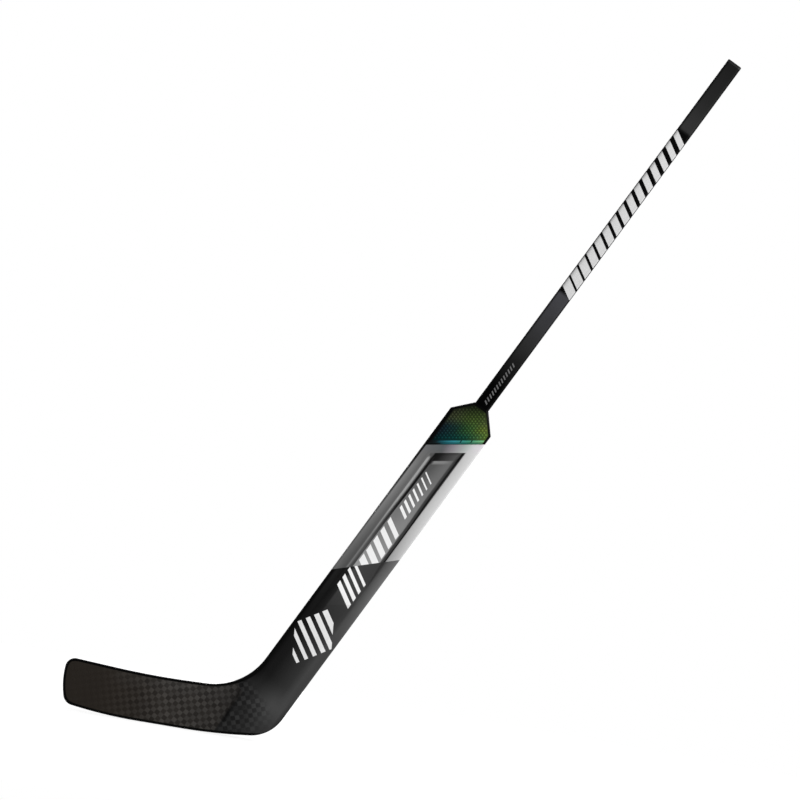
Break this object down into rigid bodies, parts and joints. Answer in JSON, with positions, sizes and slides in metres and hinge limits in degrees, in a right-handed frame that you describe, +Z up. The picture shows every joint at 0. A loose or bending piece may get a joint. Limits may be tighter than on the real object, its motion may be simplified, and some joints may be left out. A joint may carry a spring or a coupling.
{
  "type": "hockey goalie stick",
  "caption": "Hockey goalie stick with a hollow shaft, a wide slotted paddle with a dotted shoulder grip, and a curved woven blade with a raised heel and rounded toe.",
  "frame": {"origin": "on the flat part of the sole, where the blade rests on the ice in the playing position", "axes": "+Z up from the ice, +X from the toe towards the butt end, -Y out of the front face that the picture shows"},
  "size_m": [1.0109, 0.0319, 1.3294],
  "materials": {
    "shaft_laminate": "gloss dark laminate with silver bars",
    "plug_plastic": "matt black moulding",
    "foam": "pale rigid foam",
    "paddle_paint": "silver paint running into black",
    "bare_laminate": "bare dark laminate",
    "slot_paint": "grey graded paint",
    "grip_skin": "dotted soft skin, green to teal",
    "heel_weave": "diagonal dark weave",
    "blade_weave": "dark square weave under lacquer",
    "edge_laminate": "black edge laminate"
  },
  "bodies": {
    "root": {"shaft_tube": "shaft_laminate", "butt_end_plug": "plug_plastic", "tenon_insert": "foam", "paddle_core": "foam", "paddle_shell_front": "paddle_paint", "paddle_shell_rear": "paddle_paint", "paddle_rail_inner": "bare_laminate", "paddle_rail_outer": "bare_laminate", "slot_liner_front": "slot_paint", "slot_liner_rear": "slot_paint", "shoulder_grip_front": "grip_skin", "shoulder_grip_rear": "grip_skin", "heel_block": "foam", "heel_wrap_front": "heel_weave", "heel_wrap_rear": "heel_weave", "blade_core_upper": "foam", "blade_core_lower": "foam", "blade_bridge": "bare_laminate", "blade_skin_front": "blade_weave", "blade_skin_rear": "blade_weave", "top_edge_strip": "edge_laminate", "toe_edge_strip": "edge_laminate", "sole_edge_strip": "edge_laminate"}
  },
  "joints": []
}
